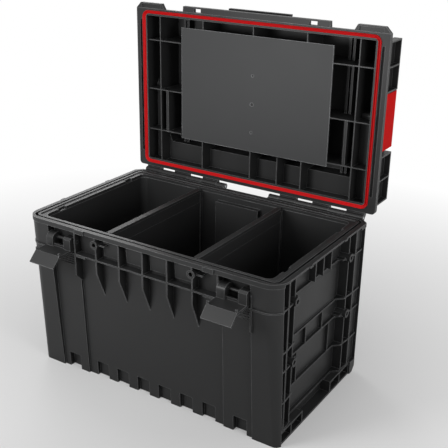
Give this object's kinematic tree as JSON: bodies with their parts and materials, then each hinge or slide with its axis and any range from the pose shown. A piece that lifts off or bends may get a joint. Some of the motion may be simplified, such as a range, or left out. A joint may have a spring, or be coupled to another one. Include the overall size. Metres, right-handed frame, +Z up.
{
  "type": "tool case",
  "caption": "Stackable plastic tool case shown open, with hinged lid, front latches, lift-out dividers, side clips for stacking and a folding carry handle.",
  "frame": {"origin": "on the underside of the floor, in the middle of the cavity", "axes": "+X along the width, -Y towards the front with the latches, +Z up"},
  "size_m": [0.595, 0.5145, 0.721],
  "materials": {
    "body_plastic": "fine texture",
    "dark_plastic": "fine texture",
    "panel_plastic": "smooth",
    "red_plastic": "smooth",
    "red_rubber": "smooth",
    "steel": "satin"
  },
  "bodies": {
    "base": {"base_tub": "body_plastic", "base_rim": "body_plastic", "front_frame": "body_plastic", "back_frame": "body_plastic", "end_frame_left": "dark_plastic", "end_frame_right": "dark_plastic", "hinge_knuckles": "dark_plastic", "hinge_pin_left": "steel", "hinge_pin_right": "steel", "divider_guides": "body_plastic", "latch_pin_left": "dark_plastic", "latch_pin_right": "dark_plastic"},
    "lid": {"lid_shell": "body_plastic", "lid_front_lip": "body_plastic", "lid_hinge_arms": "dark_plastic", "lid_ribs": "body_plastic", "lid_gasket": "red_rubber", "lid_panel": "panel_plastic", "panel_screws": "dark_plastic", "lid_end_left": "dark_plastic", "lid_end_right": "dark_plastic", "handle_lugs": "dark_plastic", "clip_pin_left": "steel", "clip_pin_right": "steel", "handle_pin_left": "steel", "handle_pin_right": "steel"},
    "latch_left": {"latch_left": "dark_plastic"},
    "latch_right": {"latch_right": "dark_plastic"},
    "clip_left": {"clip_left": "red_plastic"},
    "clip_right": {"clip_right": "red_plastic"},
    "handle": {"carry_handle": "dark_plastic"},
    "divider_left": {"divider_left": "dark_plastic"},
    "divider_right": {"divider_right": "dark_plastic"}
  },
  "joints": [
    {"name": "lid_hinge", "type": "hinge", "parent": "base", "child": "lid", "pos_m": [0, 0.195, 0.339], "axis": [1, 0, 0], "range_deg": [0, 90]},
    {"name": "latch_left_pivot", "type": "hinge", "parent": "base", "child": "latch_left", "pos_m": [-0.201, -0.1725, 0.3075], "axis": [-1, 0, 0], "range_deg": [0, 90]},
    {"name": "latch_right_pivot", "type": "hinge", "parent": "base", "child": "latch_right", "pos_m": [0.201, -0.1725, 0.3075], "axis": [-1, 0, 0], "range_deg": [0, 90]},
    {"name": "handle_pivot", "type": "hinge", "parent": "lid", "child": "handle", "pos_m": [0, 0.261, 0.6955], "axis": [-1, 0, 0], "range_deg": [0, 90]},
    {"name": "clip_left_pivot", "type": "hinge", "parent": "lid", "child": "clip_left", "pos_m": [-0.28, 0.217, 0.53], "axis": [0, 0, 1], "range_deg": [0, 25]},
    {"name": "clip_right_pivot", "type": "hinge", "parent": "lid", "child": "clip_right", "pos_m": [0.28, 0.217, 0.53], "axis": [0, 0, -1], "range_deg": [0, 25]},
    {"name": "divider_left_lift", "type": "slide", "parent": "base", "child": "divider_left", "axis": [0, 0, -1], "range_m": [-0.34, 0]},
    {"name": "divider_right_lift", "type": "slide", "parent": "base", "child": "divider_right", "axis": [0, 0, -1], "range_m": [-0.34, 0]}
  ]
}
